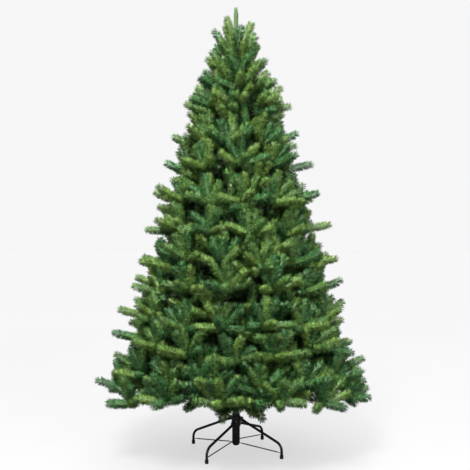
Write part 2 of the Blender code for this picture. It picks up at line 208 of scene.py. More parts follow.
# %% [markdown]
# Film tone. Needles are slit from rolls of plastic film that never match exactly, and each one
# turns another side to the light. The group shifts brightness and gloss from needle to needle,
# by the random number that every loose piece of a mesh has, and brightness also in slow
# patches along the boughs. The colour itself stays plain, because it is dealt out by tip.

# %% Film tone group
GLOSS_SPREAD = 0.22

film_tone, film_in, film_out = new_group(
    "film_tone",
    [("Colour", "Color", (0.05, 0.15, 0.05, 1)), ("Needle Spread", "Float", 1.25),
     ("Patch Spread", "Float", 0.2), ("Gloss", "Float", 0.45)],
    [("Colour", "Color"), ("Roughness", "Float")],
)
island = node(film_tone, "NewGeometry").outputs["Random Per Island"]
needle_shift = node(film_tone, "MapRange", Value=island, To_Min=-0.5, To_Max=0.5)
needle_part = maths(film_tone, "MULTIPLY", needle_shift, film_in["Needle Spread"])
patch_shift = maths(film_tone, "SUBTRACT", object_noise(film_tone, 7.0, 2.0), 0.5)
shift = maths(film_tone, "MULTIPLY_ADD", patch_shift, film_in["Patch Spread"], needle_part)
film_value = maths(film_tone, "ADD", shift, 1.0)
fill(film_tone, film_out,
     Colour=node(film_tone, "VectorMath", film_in["Colour"], operation="SCALE", Scale=film_value),
     Roughness=maths(film_tone, "MULTIPLY_ADD", needle_shift, GLOSS_SPREAD, film_in["Gloss"]))
print("group", film_tone.name)

# %% [markdown]
# Edge wear. Paint and powder coat thin out on convex edges, where hands and cartons rub. The
# mesh knows where it bulges, so Pointiness makes the mask, broken up by noise so that the wear
# isn't an even line.

# %% Edge wear group
EDGE_FROM = 0.53
EDGE_FULL = 0.62

edge_wear, wear_in, wear_out = new_group(
    "edge_wear",
    [("Base", "Color", (0.02, 0.02, 0.02, 1)), ("Worn", "Color", (0.2, 0.2, 0.2, 1)),
     ("Amount", "Float", 0.6), ("Grain Scale", "Float", 120.0)],
    [("Colour", "Color")],
)
bulge = node(edge_wear, "NewGeometry").outputs["Pointiness"]
edge_mask = node(edge_wear, "MapRange", Value=bulge, From_Min=EDGE_FROM, From_Max=EDGE_FULL)
broken = maths(edge_wear, "MULTIPLY", edge_mask, object_noise(edge_wear, wear_in["Grain Scale"], 4.0))
worn_share = maths(edge_wear, "MULTIPLY", broken, wear_in["Amount"], use_clamp=True)
fill(edge_wear, wear_out, Colour=blend(edge_wear, worn_share, wear_in["Base"], wear_in["Worn"]))
print("group", edge_wear.name)

# %% [markdown]
# Surface grain. Powder coat has a fine orange peel, rubber a moulded grit and wrapped film
# small creases. All are bumps of one kind at different sizes, so one group gives a height for
# a Bump node and a roughness that wanders over the surface.

# %% Surface grain group
surface_grain, grain_in, grain_out = new_group(
    "surface_grain",
    [("Scale", "Float", 400.0), ("Roughness", "Float", 0.4), ("Wander", "Float", 0.15)],
    [("Height", "Float"), ("Roughness", "Float")],
)
off_middle = maths(surface_grain, "SUBTRACT", object_noise(surface_grain, 18.0, 4.0), 0.5)
wandered = maths(surface_grain, "MULTIPLY_ADD", off_middle, grain_in["Wander"], grain_in["Roughness"])
fine = object_noise(surface_grain, grain_in["Scale"], 3.0)
fill(surface_grain, grain_out, Height=fine, Roughness=wandered)
print("group", surface_grain.name)

# %% [markdown]
# The coated finishes: black powder coat on the stand, satin green paint on the pole, moulded
# black plastic for the branch holders, matte rubber for the feet, zinc for the bright rivet,
# and the brown film round the bough wires. Each mixes the two groups above in its own colours.

# %% Coated finishes
BUMP_DEPTH = 0.0004


def coated(name, base, worn, wear, roughness, grain, bump, **sockets):
    """Edge wear for the colour and surface grain for roughness and bump."""
    made, tree, shader = new_material(name, **sockets)
    wears = node(tree, "Group", node_tree=edge_wear, Base=(*base, 1), Worn=(*worn, 1), Amount=wear)
    grains = node(tree, "Group", node_tree=surface_grain, Scale=grain, Roughness=roughness)
    bumps = node(tree, "Bump", Strength=bump, Distance=BUMP_DEPTH, Height=grains.outputs["Height"])
    fill(tree, shader, Base_Color=wears, Roughness=grains.outputs["Roughness"], Normal=bumps)
    return made


black_coat = coated("black_powder_coat", (0.008, 0.008, 0.009), (0.08, 0.08, 0.09),
                    0.8, 0.26, 520, 0.2, Specular_IOR_Level=0.2)
pole_paint = coated("pole_green_paint", (0.018, 0.048, 0.026), (0.16, 0.17, 0.16), 0.7, 0.42, 260, 0.15)
holder_plastic = coated("holder_plastic", (0.012, 0.020, 0.014), (0.05, 0.06, 0.05), 0.4, 0.5, 340, 0.2)
foot_rubber = coated("foot_rubber", (0.009, 0.009, 0.009), (0.05, 0.05, 0.05),
                     0.5, 0.72, 700, 0.5, Specular_IOR_Level=0.2)
zinc_plate = coated("zinc_plate", (0.20, 0.20, 0.20), (0.45, 0.45, 0.44),
                    0.5, 0.38, 600, 0.15, Metallic=1.0)
bough_wrap = coated("bough_brown_wrap", (0.052, 0.034, 0.020), (0.15, 0.11, 0.07), 0.6, 0.7, 300, 0.6)
twig_wrap = coated("twig_brown_wrap", (0.060, 0.052, 0.024), (0.15, 0.13, 0.07), 0.5, 0.68, 300, 0.6)
print("coated finishes", 7)

# %% [markdown]
# The needle films. The tree is made of films of three greens: a deep one that leans to blue, a
# middle one, and a fresh yellow green that stands for new growth. A fourth, dark film is painted
# shade for the heart of the crown, where the real tree has the same greens lying in shadow.
# The thin wire in each tip is wound with a pale film and shows as a light line along the brush.

# %% Needle films
FILMS = {
    # shade: a dark green that is painted shade for the crown's interior, not a film of its own
    "shade": ((0.017, 0.058, 0.010), 0.60),
    "deep": ((0.039, 0.138, 0.035), 0.33),
    "mid": ((0.086, 0.194, 0.039), 0.35),
    "fresh": ((0.137, 0.248, 0.045), 0.37),
}


def film(name, colour, gloss):
    """A film that keeps its normal on both sides, where a renderer would turn it round."""
    made, tree, shader = new_material(name)
    tone = node(tree, "Group", node_tree=film_tone, Colour=(*colour, 1), Gloss=gloss)
    surface = node(tree, "NewGeometry").outputs
    back_turn = maths(tree, "MULTIPLY_ADD", surface["Backfacing"], -2.0, 1.0)
    kept = node(tree, "VectorMath", surface["Normal"], operation="SCALE", Scale=back_turn)
    fill(tree, shader, Base_Color=tone, Roughness=tone.outputs["Roughness"], Normal=kept)
    return made


needle_films = {name: film(f"needle_{name}", *look) for name, look in FILMS.items()}
tip_wrap = film("tip_pale_wrap", (0.17, 0.25, 0.07), 0.55)
print("films", list(needle_films))

# %% [markdown]
# The floor is a plain pale surface that runs far past the view. It carries a very faint mottle,
# as painted board has, and isn't part of the object. Like the wall, it is seen in a tone of its
# own, a little lighter far off, and gives back less light than that tone would.

# %% Floor
FLOOR_HALF = 40.0
FLOOR_TONES = ((0.163, 0.163, 0.165, 1), (0.177, 0.177, 0.179, 1))
FLOOR_SEEN = ((0.59, 0.59, 0.59, 1), (0.675, 0.675, 0.675, 1))
FLOOR_NEAR = 1.0
FLOOR_FAR = 6.0
FLOOR_GLOW = (0.05, 0.05, 0.05, 1)

floor_mesh = bpy.data.meshes.new("studio_floor")
corners = [(x * FLOOR_HALF, y * FLOOR_HALF, 0) for x, y in ((-1, -1), (1, -1), (1, 1), (-1, 1))]
floor_mesh.from_pydata(corners, [], [(0, 1, 2, 3)])
floor_paint, tree, shader = new_material("floor_paint", Specular_IOR_Level=0.2, Roughness=0.6)
place = node(tree, "TexCoord").outputs["Object"]
distance = node(tree, "VectorMath", place, operation="LENGTH")
far_share = node(tree, "MapRange", Value=distance, From_Min=FLOOR_NEAR, From_Max=FLOOR_FAR)
seen = node(tree, "LightPath").outputs["Is Camera Ray"]
fill(tree, shader, Emission_Strength=1.0,
     Base_Color=blend(tree, object_noise(tree, 3.0, 3.0), *FLOOR_TONES),
     Emission_Color=blend(tree, seen, FLOOR_GLOW, blend(tree, far_share, *FLOOR_SEEN)))
floor_mesh.materials.append(floor_paint)
floor = add_object("studio_floor", floor_mesh)
print("floor", 2 * FLOOR_HALF, "m across")

# %% [markdown]
# Mesh helpers. Turned parts are a profile of radius and height spun about an upright line, and
# wires are rings of points along a path. Both give plain points and faces, so that many of
# them can be joined into one mesh.

# %% Mesh helpers
UP = np.array((0.0, 0.0, 1.0))
BEVEL_STEPS = 3


def around(turn, radius, height):
    return np.array((radius * math.cos(turn), radius * math.sin(turn), height))


def outward(turn, pitch):
    """Unit vector away from the pole at a turn about Z, pitched up."""
    return around(turn, math.cos(pitch), math.sin(pitch))


def unit(vectors):
    return vectors / np.maximum(np.linalg.norm(vectors, axis=-1, keepdims=True), 1e-12)


def walked_along(path):
    """How far each point of a path is from its start, along the path."""
    return np.concatenate([[0], np.cumsum(np.linalg.norm(np.diff(path, axis=0), axis=1))])


def ring_faces(rings, sides, closed_path=False):
    """Faces between successive rings of points."""
    ring = np.arange(rings if closed_path else rings - 1)[:, None]
    side = np.arange(sides)[None, :]
    after = (side + 1) % sides
    low, high = ring * sides, (ring + 1) % rings * sides
    faces = np.stack([low + side, low + after, high + after, high + side], -1).reshape(-1, 4)
    return [tuple(face) for face in faces.tolist()]


def turned(profile, sides=40, closed_profile=False):
    """Points and faces of a profile of (radius, height) spun about Z."""
    profile = np.array(profile, float)
    turns = 2 * np.pi * np.arange(sides) / sides
    radius, height = profile[:, :1], np.repeat(profile[:, 1:], sides, 1)
    points = np.stack([radius * np.cos(turns), radius * np.sin(turns), height], -1).reshape(-1, 3)
    return points, ring_faces(len(profile), sides, closed_profile)


def rounded(profile, radius, steps=4):
    """A profile with each inner corner rounded, by less than asked where a side is short."""
    profile = [np.array(point, float) for point in profile]
    made = [profile[0]]
    for before, corner, after in zip(profile, profile[1:], profile[2:]):
        back, on = before - corner, after - corner
        cut = min(radius, 0.45 * np.linalg.norm(back), 0.45 * np.linalg.norm(on))
        start, end = corner + unit(back) * cut, corner + unit(on) * cut
        for share in np.linspace(0, 1, steps + 1):
            rest = 1 - share
            made.append(rest ** 2 * start + 2 * share * rest * corner + share ** 2 * end)
    return made + [profile[-1]]


def level_frame(along):
    """For each direction, one that is level and square to it, and one square to both."""
    across = np.cross(UP, along)
    upright = np.linalg.norm(across, axis=-1) < 0.02
    across[upright] = (0.0, 1.0, 0.0)
    across = unit(across)
    return across, np.cross(along, across)


def swept(path, widths, heights, sides=12, ridges=0, relief=0.0, twist=0.0):
    """Points and faces of a tube along a path, capped, with the half sizes of each ring.

    ridges raises that many ribs, which turn by twist for each metre, as film round a wire."""
    path = np.array(path, float)
    across, upward = level_frame(unit(np.gradient(path, axis=0)))
    turns = 2 * np.pi * np.arange(sides) / sides
    swell = 1 + relief * np.cos(ridges * turns[None, :] + twist * walked_along(path)[:, None])
    x = np.asarray(widths, float).reshape(-1, 1) * np.cos(turns) * swell
    y = np.asarray(heights, float).reshape(-1, 1) * np.sin(turns) * swell
    points = path[:, None] + x[..., None] * across[:, None] + y[..., None] * upward[:, None]
    last = (len(path) - 1) * sides
    caps = [tuple(reversed(range(sides))), tuple(range(last, last + sides))]
    return points.reshape(-1, 3), ring_faces(len(path), sides) + caps


def joined(parts):
    """Several (points, faces) as one."""
    points, faces, start = [], [], 0
    for own_points, own_faces in parts:
        points.append(own_points)
        faces += [tuple(corner + start for corner in face) for face in own_faces]
        start += len(own_points)
    return np.concatenate(points), faces


def settle(made, slot, *stands_for):
    """Every piece rides on the one body and hides the nodes of the frame that it stands for. Its slot
    is not used.
    """
    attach(made, "root")
    if stands_for:
        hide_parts(*stands_for)


def piece(name, points, faces, finish, slot, *stands_for, crease=40, edge=0.0):
    """A shown piece: its mesh, finish and slot, and the nodes of the frame it stands for. The slot is
    not used.
    """
    mesh = bpy.data.meshes.new(name)
    mesh.from_pydata(points.tolist(), [], faces)
    mesh.materials.append(finish)
    mesh.shade_smooth()
    mesh.set_sharp_from_angle(angle=math.radians(crease))
    made = add_object(name, mesh)
    if edge:
        bevel = made.modifiers.new("soft_edges", "BEVEL")
        bevel.width = edge
        bevel.segments = BEVEL_STEPS
        bevel.limit_method = "ANGLE"
        bevel.angle_limit = math.radians(crease)
    settle(made, slot, *stands_for)


print("mesh helpers ready")

# %% [markdown]
# The pole is three steel tubes. Each upper one is necked down at its foot to plug into the one
# below, and the lower one's rim is rolled over it. A turned profile with rounded corners gives
# both the neck and the rim. The heights are those of the frame's pole.

# %% Pole
POLE_RADII = (0.0160, 0.0135, 0.0090)
POLE_JOINTS = (0.62, 1.10)
RIM_HEIGHT = 0.006
RIM_BULGE = 0.0012
NECK_STEP = 0.0008
TOP_TAPER = 0.7
TAPER_HEIGHT = 0.004


def foot_and_top(name):
    """The lowest and the highest point of a node of the frame."""
    low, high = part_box(name)
    return low.z, high.z


pole_foot, pole_tip = foot_and_top("pole")
pole_profile = [(0.0, pole_foot), (POLE_RADII[0], pole_foot)]
for lower, upper, joint in zip(POLE_RADII, POLE_RADII[1:], POLE_JOINTS):
    pole_profile += [
        (lower, joint - RIM_HEIGHT),
        (lower + RIM_BULGE, joint - RIM_HEIGHT / 2),
        (lower, joint),
        (upper + NECK_STEP, joint + NECK_STEP / 2),
        (upper, joint + RIM_HEIGHT),
    ]
pole_profile += [
    (POLE_RADII[-1], pole_tip - TAPER_HEIGHT),
    (POLE_RADII[-1] * TOP_TAPER, pole_tip),
    (0.0, pole_tip),
]
piece("pole_tubes", *turned(rounded(pole_profile, 0.0015)), pole_paint, "pole_green", "pole")
print("pole", round(pole_foot, 3), "to", round(pole_tip, 3), "m")

# %% [markdown]
# The stand's socket is a tube that the pole drops into. Its mouth is rolled over, a moulded plug
# closes its foot, and a rivet with a bright head holds the tube's seam. All of it is round and
# so is turned, and the rivet is then laid over to face the front.

# %% Socket and plug
SOCKET_RADIUS = 0.0182
SOCKET_BORE = SOCKET_RADIUS - 0.0019
RIVET_HEIGHT = 0.1430
RIVET_PROFILE = ((0.0028, -0.0006), (0.0028, 0.0004), (0.0022, 0.0012), (0.0010, 0.0016),
                 (0.0, 0.0017))


def posed(part, turn, place=(0, 0, 0)):
    """A part turned about Z and then moved."""
    points, faces = part
    cosine, sine = math.cos(turn), math.sin(turn)
    turning = np.array(((cosine, sine, 0), (-sine, cosine, 0), (0, 0, 1)))
    return points @ turning + np.array(place), faces


def laid(part):
    """A part laid over, so that what pointed up points along -Y."""
    points, faces = part
    return points @ np.array(((1, 0, 0), (0, 0, 1), (0, -1, 0))), faces


socket_foot, socket_top = foot_and_top("stand_socket")
socket_profile = [
    (SOCKET_BORE, socket_foot),
    (SOCKET_RADIUS, socket_foot),
    (SOCKET_RADIUS, socket_top - 0.0035),
    (SOCKET_RADIUS + 0.0009, socket_top - 0.0018),
    (SOCKET_RADIUS + 0.0002, socket_top),
    (SOCKET_BORE, socket_top),
]
socket_tube = turned(rounded(socket_profile, 0.0006), 64, closed_profile=True)
piece("socket_tube", *socket_tube, black_coat, "black_steel", "stand_socket")
plug_foot, plug_top = foot_and_top("socket_plug")
plug_radius = (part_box("socket_plug")[1].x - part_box("socket_plug")[0].x) / 2
plug_profile = [
    (0.0, plug_foot + 0.0008),
    (plug_radius * 0.30, plug_foot),
    (plug_radius * 0.72, plug_foot),
    (plug_radius, plug_foot + 0.0055),
    (plug_radius, plug_top),
    (0.0, plug_top),
]
piece("plug", *turned(rounded(plug_profile, 0.003), 48), foot_rubber, "black_rubber", "socket_plug")
rivet = posed(laid(turned(RIVET_PROFILE, 20)), 0, (0, -SOCKET_RADIUS, RIVET_HEIGHT))
piece("seam_rivet", *rivet, zinc_plate, "black_steel")
print("socket", round(socket_foot, 3), "to", round(socket_top, 3), "m")

# %% [markdown]
# The legs fold against the pole for storage. Two of them hinge on each collar: the tube's end is
# pressed flat, stands between two ears of sheet steel and turns on a pin with domed heads.
# Everything is drawn once, pointing along X, and turned to the four directions.

# %% Collars and hinges
COLLAR_RADIUS = 0.0222
COLLAR_HEIGHT = 0.021
LEG_PAIRS = (
    {"root": 0.130, "slope": 0.30, "brace": 0.053},
    {"root": 0.156, "slope": 0.42, "brace": 0.042},
)
FIRST_LEG = 237.8
FLAT_HALF = 0.0036
EAR_OFFSET = FLAT_HALF * 1.08
EAR_THICK = 0.0016
EAR_REACH = 0.015
EAR_HALF = COLLAR_HEIGHT / 2 - 0.0015
PIN_REACH = 0.0085
PIN_PROFILE = ((0.0026, -0.0008), (0.0042, 0.0), (0.0038, 0.0010), (0.0020, 0.0018), (0.0, 0.0020))
legs = [(math.radians(FIRST_LEG + 90 * number), LEG_PAIRS[number % 2]) for number in range(4)]


def block(x, y, z):
    """A box between two limits on each axis."""
    corners = [(x[a], y[b], z[c]) for c in (0, 1) for a, b in ((0, 0), (1, 0), (1, 1), (0, 1))]
    faces = [(3, 2, 1, 0), (4, 5, 6, 7), (0, 1, 5, 4), (1, 2, 6, 5), (2, 3, 7, 6), (3, 0, 4, 7)]
    return np.array(corners), faces


def hinge_ears(pair):
    """The two ears of a leg, one at each side of its flattened end."""
    reaches = (SOCKET_RADIUS, COLLAR_RADIUS + EAR_REACH)
    heights = (pair["root"] - EAR_HALF, pair["root"] + EAR_HALF)
    return [block(reaches, sorted((side * EAR_OFFSET, side * (EAR_OFFSET + EAR_THICK))), heights)
            for side in (-1, 1)]


def hinge_heads(pair):
    """The domed heads of a hinge's pin, outside the ears."""
    height = pair["root"] - pair["slope"] * PIN_REACH
    out = EAR_OFFSET + EAR_THICK
    head = laid(turned(PIN_PROFILE, 16))
    reach = COLLAR_RADIUS + PIN_REACH
    return [posed(head, 0, (reach, -out, height)), posed(head, math.pi, (reach, out, height))]


collar_parts, ear_parts, head_parts = [], [], []
for pair in LEG_PAIRS:
    low, high = pair["root"] - COLLAR_HEIGHT / 2, pair["root"] + COLLAR_HEIGHT / 2
    band = [(SOCKET_RADIUS, low), (COLLAR_RADIUS, low), (COLLAR_RADIUS, high), (SOCKET_RADIUS, high)]
    collar_parts.append(turned(rounded(band, 0.0012), 64, closed_profile=True))
for turn, pair in legs:
    ear_parts += [posed(part, turn) for part in hinge_ears(pair)]
    head_parts += [posed(part, turn) for part in hinge_heads(pair)]
piece("leg_collars", *joined(collar_parts), black_coat, "black_steel", "stand_socket")
piece("hinge_ears", *joined(ear_parts), black_coat, "black_steel", edge=0.0005)
piece("hinge_pins", *joined(head_parts), black_coat, "black_steel")
print("hinges", len(legs))

# %% [markdown]
# Legs, braces and feet. A leg is one tube, bent down over its last third, and its rubber foot is
# ribbed so that it can be pushed on. A brace is a thin rod with its ends pressed flat, riveted
# through the leg. All are swept along the frame's own paths, and flatter where they are pressed.

# %% Legs, braces and feet
LEG_CIRCLE = 0.2456
LEG_RADIUS = 0.006
LEG_BEND = 0.042
LEG_FOOT = 0.0043
LEG_SHARES = (0, 0.04, 0.08, 0.11, 0.14, 0.17, 0.4, 0.7)
PRESSED_UNTIL = (0, 0.019, 0.033)
PRESSED_HEIGHT = 0.0079
BRACE_RADIUS = 0.0026
BRACE_END = 0.0265
BRACE_SHARES = (0, 0.03, 0.055, 0.08, 0.5, 0.92, 0.945, 0.97, 1)
BRACE_FLAT = (0.0036, 0.0036, 0.0030)
BRACE_THIN = (0.0011, 0.0011, 0.0014)
CAP_RADIUS = 0.0085
CAP_HEIGHT = 0.018
CAP_RIBS = (0.0055, 0.0095, 0.0135)
RIB_RELIEF = 0.0006
TOUCH_GAP = 0.0003


def leg_tube(pair):
    """A leg that points along X, flat at its root and bent down to its foot."""
    start = np.array((COLLAR_RADIUS + TOUCH_GAP, 0, pair["root"]))
    bend = math.pi / 2 - math.atan(pair["slope"])
    knee = pair["root"] - pair["slope"] * (LEG_CIRCLE - start[0])
    centre = np.array((LEG_CIRCLE - LEG_BEND, 0, knee - LEG_BEND * math.tan(bend / 2)))
    arc = [centre + LEG_BEND * np.array((math.cos(turn), 0, math.sin(turn)))
           for turn in np.linspace(bend, 0, 16)]
    straight = [start + share * (arc[0] - start) for share in LEG_SHARES]
    heights = np.linspace(arc[-1][2], LEG_FOOT, 6)[1:]
    path = straight + arc + [np.array((LEG_CIRCLE, 0, height)) for height in heights]
    away = np.linalg.norm(np.array(path) - start, axis=1)
    widths = np.interp(away, PRESSED_UNTIL, (FLAT_HALF, FLAT_HALF, LEG_RADIUS))
    heights = np.interp(away, PRESSED_UNTIL, (PRESSED_HEIGHT, PRESSED_HEIGHT, LEG_RADIUS))
    return swept(path, widths, heights, 28)


def brace_rod(pair):
    """A brace that points along X, with flat ends."""
    near = np.array((SOCKET_RADIUS + TOUCH_GAP, 0, pair["brace"]))
    far = np.array((LEG_CIRCLE - LEG_RADIUS - TOUCH_GAP, 0, BRACE_END))
    widths, heights = ((*end, *[BRACE_RADIUS] * 3, *reversed(end)) for end in (BRACE_FLAT, BRACE_THIN))
    return swept([near + share * (far - near) for share in BRACE_SHARES], widths, heights, 12)


def foot_cap():
    """A rubber foot with three ribs, standing at the end of a leg that points along X."""
    profile = [(0.0, 0.0), (CAP_RADIUS * 0.92, 0.0), (CAP_RADIUS, 0.0012)]
    for rib in CAP_RIBS:
        profile += [(CAP_RADIUS, rib - 0.0011), (CAP_RADIUS - RIB_RELIEF, rib - 0.0006)]
        profile += [(CAP_RADIUS - RIB_RELIEF, rib + 0.0006), (CAP_RADIUS, rib + 0.0011)]
    profile += [(CAP_RADIUS, CAP_HEIGHT - 0.0010), (CAP_RADIUS - 0.0010, CAP_HEIGHT)]
    profile += [(LEG_RADIUS, CAP_HEIGHT)]
    return turned(rounded(profile, 0.0008), 40)


brace_heads = []
for number, (turn, pair) in enumerate(legs, 1):
    tube, rod = posed(leg_tube(pair), turn), posed(brace_rod(pair), turn)
    piece(f"leg_tube_{number}", *tube, black_coat, "black_steel", f"leg_{number}")
    piece(f"brace_rod_{number}", *rod, black_coat, "black_steel", f"brace_{number}")
    foot = posed(foot_cap(), 0, around(turn, LEG_CIRCLE, 0))
    piece(f"rubber_foot_{number}", *foot, foot_rubber, "black_rubber", f"foot_cap_{number}")
    head_place = (LEG_CIRCLE + LEG_RADIUS, 0, BRACE_END)
    brace_heads.append(posed(posed(laid(turned(RIVET_PROFILE, 16)), math.pi / 2, head_place), turn))
piece("brace_rivets", *joined(brace_heads), black_coat, "black_steel")
print("legs", len(legs))

# %% [markdown]
# Growth rule, first half: the outline and the tiers. These are the source's own numbers, so
# that every bough leaves the pole where the frame has it. The crown's reach is a power of the
# height that is left above a point, and a skirt below that stays full.

# %% Outline and tiers
TREE_HEIGHT = cad_high.z
SKIRT_HEIGHT = 0.27
SKIRT_REACH = 0.668
LOW_REACH = 0.630
REACH_POWER = 0.68
HOLDER_RADIUS = 0.023
HOLDER_HEIGHT = 0.030
BOUGH_REACH = 0.125
STEM_SHARE = 0.55
STEM_REACH = 0.93
FORK_SHARES = (0.52, 0.74)
FORK_STAGGER = 0.04
TWIG_HEADINGS = ((-0.5, 0.5), (-0.7, 0.3))
HEADING_SPREAD = 0.04
REACH_SPREAD = 0.02
TIER_KEYS = ("name", "masses", "first", "hinge", "rings", "pitch", "bough")
TIERS = [dict(zip(TIER_KEYS, tier)) for tier in (
    ("low", 7, 18.9, 0.275, (0.270, 0.390), (-4, 9), True),
    ("second", 7, 22.6, 0.455, (0.520, 0.650), (4, 10), True),
    ("third", 6, 40.0, 0.700, (0.785, 0.915), (6, 12), False),
    ("fourth", 5, 49.2, 0.965, (1.050, 1.195), (8, 14), False),
    ("fifth", 4, 71.8, 1.225, (1.350, 1.490), (14, 20), False),
)]


def reach_at(height):
    """How far the crown reaches from the pole at a height."""
    if height <= SKIRT_HEIGHT:
        return SKIRT_REACH
    share_left = max(TREE_HEIGHT - height, 0) / (TREE_HEIGHT - SKIRT_HEIGHT)
    return LOW_REACH * share_left ** REACH_POWER


def mass_limbs(tier_number, number):
    """Stem and twigs of one mass, by the source's rule and its seed."""
    tier = TIERS[tier_number]
    half_width = math.pi / tier["masses"]
    middle = sum(tier["rings"]) / 2
    reach = reach_at(middle)
    pick = random.Random(100 * tier_number + number)
    turn = math.radians(tier["first"]) + 2 * half_width * number
    holder = around(turn, HOLDER_RADIUS + TOUCH_GAP, tier["hinge"])
    tip = around(turn, STEM_REACH * reach, middle)
    fork_height = tier["hinge"] + STEM_SHARE * (middle - tier["hinge"])
    fork = around(turn, STEM_SHARE * reach, fork_height)
    root = holder
    if tier["bough"]:
        share = (BOUGH_REACH - HOLDER_RADIUS) / (STEM_SHARE * reach - HOLDER_RADIUS)
        root = holder + share * (fork - holder)
    twigs = []
    for ring, (tip_height, pitch) in enumerate(zip(tier["rings"], tier["pitch"])):
        for wall, share in zip((-1, 1), TWIG_HEADINGS[ring]):
            heading = turn + half_width * (share + pick.uniform(-HEADING_SPREAD, HEADING_SPREAD))
            tip_reach = reach_at(tip_height) * (1 - pick.uniform(0, REACH_SPREAD))
            forked_at = root + (FORK_SHARES[ring] + wall * FORK_STAGGER) * (fork - root)
            twigs.append({"fork": forked_at, "tip": around(heading, tip_reach, tip_height),
                          "turn": heading, "pitch": math.radians(pitch), "reach": tip_reach})
    return {"turn": turn, "reach": reach, "holder": holder, "fork": fork, "tip": tip, "twigs": twigs}


limbs = {tier["name"]: [mass_limbs(at, number) for number in range(tier["masses"])]
         for at, tier in enumerate(TIERS)}
print("twigs", sum(len(mass["twigs"]) for masses in limbs.values() for mass in masses))

# %% [markdown]
# Branch holders. At each tier a moulded ring on the pole has a slot for every bough, whose end
# drops in and hinges there. A turned profile gives the ring and its two flanges, and upright
# fins between the flanges leave the slots open.

# %% Branch holders
HOLDER_CORE = 0.0190
HOLDER_FLANGE = 0.0032
FIN_REACH = (HOLDER_CORE - 0.001, HOLDER_RADIUS - 0.0004)
FIN_HALF = 0.0016
FIN_INSET = 0.002

holder_parts = []
for tier in TIERS:
    low, high = tier["hinge"] - HOLDER_HEIGHT / 2, tier["hinge"] + HOLDER_HEIGHT / 2
    bore = POLE_RADII[sum(tier["hinge"] > joint for joint in POLE_JOINTS)]
    ring = [(bore, low), (HOLDER_RADIUS, low), (HOLDER_RADIUS, low + HOLDER_FLANGE),
            (HOLDER_CORE, low + HOLDER_FLANGE), (HOLDER_CORE, high - HOLDER_FLANGE),
            (HOLDER_RADIUS, high - HOLDER_FLANGE), (HOLDER_RADIUS, high), (bore, high)]
    holder_parts.append(turned(rounded(ring, 0.0008), 56, closed_profile=True))
    fin = block(FIN_REACH, (-FIN_HALF, FIN_HALF), (low + FIN_INSET, high - FIN_INSET))
    for number in range(tier["masses"]):
        turn = math.radians(tier["first"]) + 2 * math.pi * (number + 0.5) / tier["masses"]
        holder_parts.append(posed(fin, turn))
piece("branch_holders", *joined(holder_parts), holder_plastic, "pole_green", "pole", edge=0.0003)
print("holders", len(TIERS))

# %% [markdown]
# Growth rule, second half: fans of tips. On the real tree a wire ends in a bunch of tips that
# are pulled apart by hand into a fan, flat below and open above, with smaller bunches behind.
# A fan is a short table of directions: for each tip its turn to the side, its lift, both in
# degrees, and its share of the full length. It is tried at every twig with a little seeded
# scatter, because the hand that opens them is never exact.

# %% Fans of tips
TIP_LENGTH = 0.146
TIP_LEAST_SHARE = 0.80
FULL_REACH = 0.42
LENGTH_RANGE = (0.92, 1.06)
NEEDLE_OVERHANG = 0.025
END_FAN = ((0, 3, 1.0), (60, 2, 0.98), (-60, 2, 0.98), (-54, 44, 0.96), (-14, 60, 0.98),
           (30, 58, 0.94), (62, 38, 0.96))
LONG_FAN = ((0, 3, 1.16), *END_FAN[1:])
SIDE_FAN = ((0, 6, 1.0), (52, 12, 0.95), (-30, 52, 0.95))
BACK_FAN = ((65, 14, 0.92), (-65, 14, 0.92), (42, 52, 0.90), (-42, 52, 0.90), (0, 84, 0.85))
STEM_FAN = ((0, 8, 1.0), (50, 8, 0.94), (-50, 8, 0.94), (0, 62, 0.90))
BOUGH_FAN = ((75, 10, 0.95), (-75, 10, 0.95), (48, 55, 0.95), (-48, 55, 0.95), (0, 85, 0.90))
BOUGH_SHARES = (0.12, 0.28, 0.44, 0.60, 0.76)
# BOUGH_SHADED and BACK_SHADED are chances of painted shade: dark film dealt to tips deep in a mass,
# more of it nearer the pole.
BOUGH_SHADED = 0.8
BACK_STEP = 0.095
BACK_SHADED = 0.6
AIM_SPREAD = 7.0
BOW = 0.008
LEVEL_UNDER = 45
FRESH_CHANCE_LEVEL = 0.50
FRESH_CHANCE_UP = 0.16
DEEP_CHANCE = 0.45

draw = np.random.default_rng(41)
tips = {name: [] for name in [*limbs, "top"]}
wires = {name: [] for name in [*limbs, "top"]}


def tone_for(lift):
    """Level tips are often fresh growth, and the upright ones behind them mostly deeper."""
    level = max(0.0, 1 - abs(lift) / LEVEL_UNDER)
    fresh = FRESH_CHANCE_UP + level * (FRESH_CHANCE_LEVEL - FRESH_CHANCE_UP)
    if draw.random() < fresh:
        return "fresh"
    return "deep" if draw.random() < DEEP_CHANCE else "mid"


def tip_length(reach):
    return TIP_LENGTH * min(1.0, TIP_LEAST_SHARE + (1 - TIP_LEAST_SHARE) * reach / FULL_REACH)


def add_tip(where, root, along, length, tone, kind):
    """One bottle-brush tip, with its end bowed a little upwards."""
    bow = draw.normal(0, BOW, 3) + BOW * UP
    tips[where].append((root, root + (length - NEEDLE_OVERHANG) * along, bow, tone, kind))


def add_fan(where, root, turn, pitch, length, fan, kind, shaded=0.0):
    """A fan of tips from one point, or its mirror image. shaded is the chance of dark film."""
    hand = draw.choice((-1, 1))
    for yaw, lift, share in fan:
        aim_turn = turn + math.radians(hand * yaw + draw.normal(0, AIM_SPREAD))
        aim_pitch = pitch + math.radians(lift + draw.normal(0, AIM_SPREAD))
        own_length = length * share * draw.uniform(*LENGTH_RANGE)
        # The inner tone is painted shade: such a tip takes only the dark film.
        tone = "inner" if draw.random() < shaded else tone_for(lift)
        add_tip(where, root, outward(aim_turn, aim_pitch), own_length, tone, kind)


